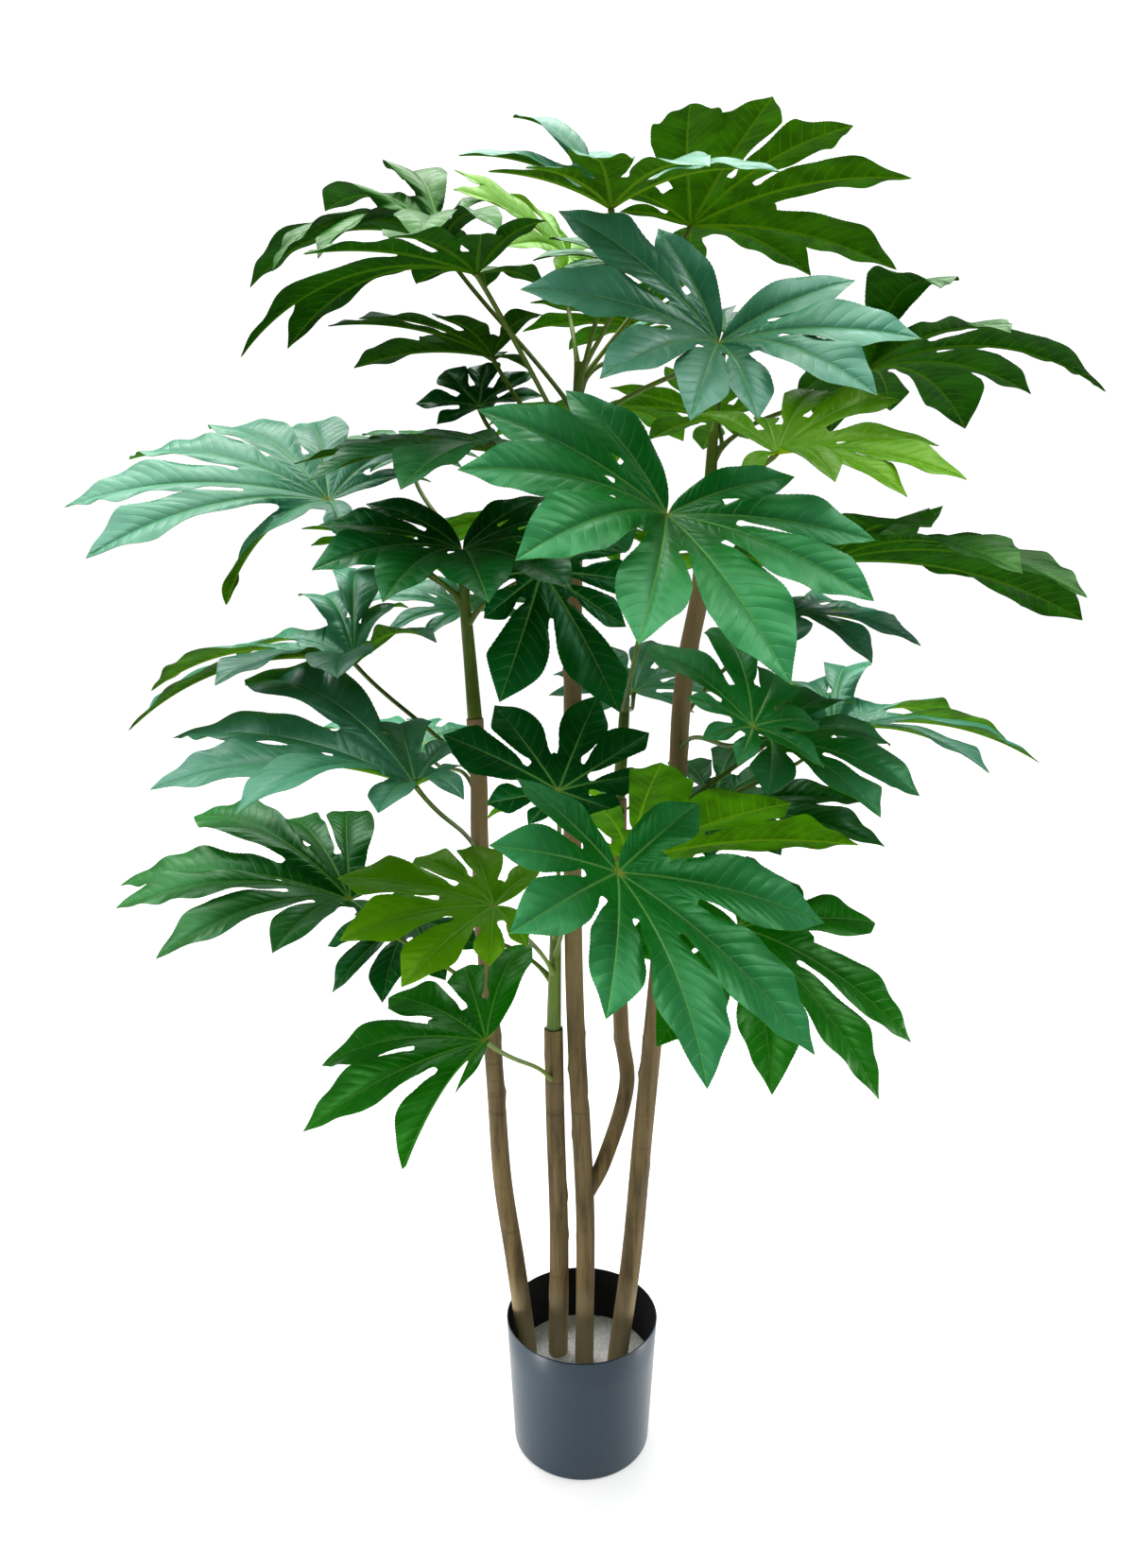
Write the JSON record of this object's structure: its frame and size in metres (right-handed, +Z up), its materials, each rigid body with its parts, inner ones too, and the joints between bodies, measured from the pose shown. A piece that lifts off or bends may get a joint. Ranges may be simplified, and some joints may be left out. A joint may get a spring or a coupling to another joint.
{
  "type": "potted fatsia",
  "caption": "Artificial fatsia tree with slim brown trunks, green stalks and large lobed leaves, set in whitish fill in a plain dark blue-grey pot",
  "frame": {"origin": "centre of the pot's base", "axes": "+Z up, +X to the right of the front view, +Y away from the viewer"},
  "size_m": [0.9852, 0.8195, 1.4071],
  "materials": {
    "pot_plastic": "satin",
    "fill_plaster": "matte",
    "trunk_bark": "matte",
    "stem_green": "satin",
    "leaf_green": "satin",
    "leaf_dark": "satin",
    "leaf_lime": "satin",
    "leaf_blue": "satin"
  },
  "bodies": {
    "root": {"pot": "pot_plastic", "fill": "fill_plaster", "trunk_left": "trunk_bark", "trunk_short": "trunk_bark", "trunk_centre": "trunk_bark", "trunk_right": "trunk_bark", "shoot_left": "stem_green", "shoot_short": "stem_green", "shoot_centre": "stem_green", "shoot_fork": "stem_green", "shoot_right": "stem_green", "leaf_centre_01": "leaf_blue", "leaf_centre_02": "leaf_green", "leaf_centre_03": "leaf_green", "leaf_centre_04": "leaf_green", "leaf_centre_05": "leaf_lime", "leaf_centre_06": "leaf_blue", "leaf_centre_07": "leaf_dark", "leaf_centre_08": "leaf_green", "leaf_centre_09": "leaf_dark", "leaf_centre_10": "leaf_dark", "leaf_centre_11": "leaf_dark", "leaf_centre_12": "leaf_green", "leaf_centre_13": "leaf_green", "leaf_right_01": "leaf_green", "leaf_right_02": "leaf_green", "leaf_right_03": "leaf_lime", "leaf_right_04": "leaf_green", "leaf_right_05": "leaf_blue", "leaf_right_06": "leaf_green", "leaf_right_07": "leaf_blue", "leaf_right_08": "leaf_blue", "leaf_right_09": "leaf_green", "leaf_right_10": "leaf_dark", "leaf_right_11": "leaf_blue", "leaf_right_12": "leaf_green", "leaf_left_01": "leaf_green", "leaf_left_02": "leaf_dark", "leaf_left_03": "leaf_green", "leaf_left_04": "leaf_green", "leaf_left_05": "leaf_dark", "leaf_left_06": "leaf_green", "leaf_left_07": "leaf_lime", "leaf_left_08": "leaf_lime", "leaf_left_09": "leaf_green", "leaf_left_10": "leaf_green", "leaf_short_01": "leaf_dark", "leaf_short_02": "leaf_green", "leaf_short_03": "leaf_lime", "leaf_short_04": "leaf_dark", "leaf_short_05": "leaf_green", "leaf_fork_01": "leaf_green", "leaf_fork_02": "leaf_green", "leaf_fork_03": "leaf_lime", "leaf_fork_04": "leaf_green"}
  },
  "joints": []
}
